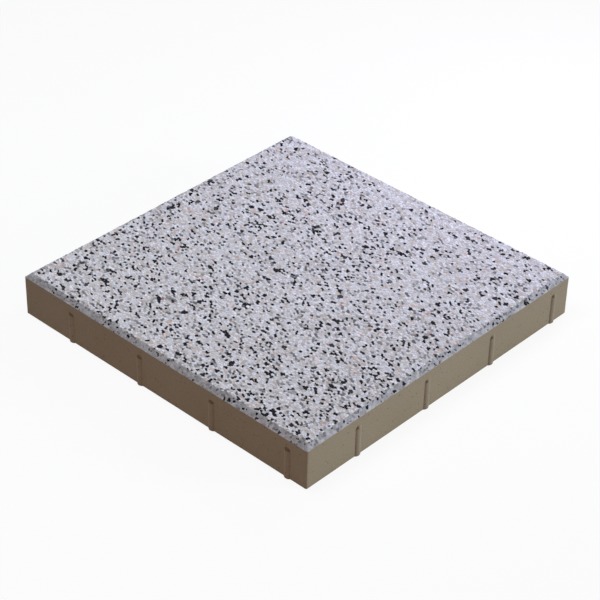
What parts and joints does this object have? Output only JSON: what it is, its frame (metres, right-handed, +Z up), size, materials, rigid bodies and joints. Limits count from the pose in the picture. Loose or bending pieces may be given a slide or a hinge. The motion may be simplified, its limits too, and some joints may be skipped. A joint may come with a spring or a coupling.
{
  "type": "paving slab",
  "caption": "Square concrete paving slab with a bevelled face of blasted black and white stone chips, a plain brown backing and short spacer ribs along its sides.",
  "frame": {"origin": "centre of the underside", "axes": "+Z up out of the walking face, X and Y along the sides"},
  "size_m": [0.4, 0.4, 0.05],
  "materials": {
    "facing_concrete": "blasted white cement concrete with black, grey and white stone chips",
    "backing_concrete": "smooth pressed brown-grey concrete"
  },
  "bodies": {
    "root": {"facing_layer": "facing_concrete", "backing_layer": "backing_concrete"}
  },
  "joints": []
}
